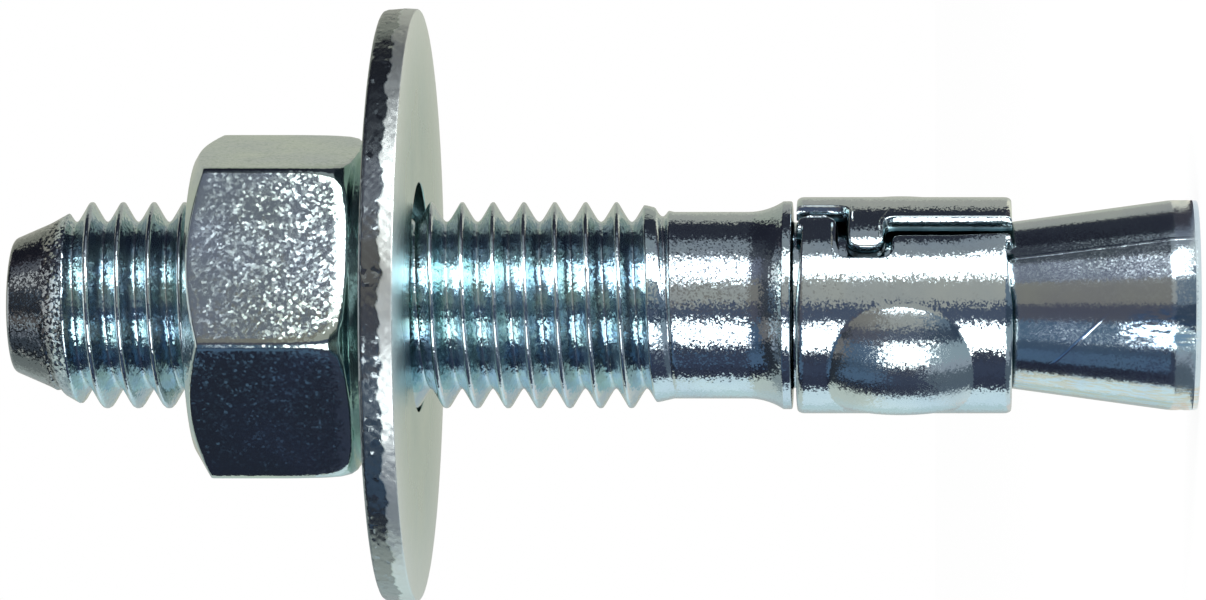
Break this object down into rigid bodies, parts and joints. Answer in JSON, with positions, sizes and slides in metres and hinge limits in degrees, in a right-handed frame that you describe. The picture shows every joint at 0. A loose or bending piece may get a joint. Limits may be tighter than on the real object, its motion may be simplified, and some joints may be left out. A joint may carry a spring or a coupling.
{
  "type": "wedge anchor",
  "caption": "Threaded steel stud with an expander cone, split expansion clip, hex nut and wide flat washer, for fixing a bracket or plate to concrete.",
  "frame": {"origin": "centre of the stud's flat cone end, which the anchor stands on", "axes": "+Z along the stud's axis, from the cone end up to the threaded tip; +X is square to it, 42 degrees round from the middle of the clip's seam"},
  "size_m": [0.0444, 0.0444, 0.0885],
  "materials": {
    "stud_zinc": "bright zinc plated cold-headed steel",
    "nut_zinc": "bright zinc plated, fine grained",
    "washer_zinc": "bright zinc plated, stamped edge",
    "clip_zinc": "bright zinc plated rolled strip"
  },
  "bodies": {
    "stud": {"anchor_stud": "stud_zinc"},
    "washer": {"flat_washer": "washer_zinc"},
    "nut": {"hex_nut": "nut_zinc"},
    "clip": {"expansion_clip": "clip_zinc"}
  },
  "joints": [
    {"name": "washer_travel", "type": "slide", "parent": "stud", "child": "washer", "axis": [0, 0, 1], "range_m": [-0.0197, 0.0139]},
    {"name": "nut_turn", "type": "hinge", "parent": "washer", "child": "nut", "pos_m": [0, 0, 0.06075], "axis": [0, 0, 1], "range_deg": [-3060, 2160]},
    {"name": "clip_slide", "type": "slide", "parent": "stud", "child": "clip", "axis": [0, 0, 1], "range_m": [-0.0041, 0.0003]}
  ],
  "couplings": [
    {"joint": "washer_travel", "follows": "nut_turn", "m_per_rad": 0.0003675}
  ]
}
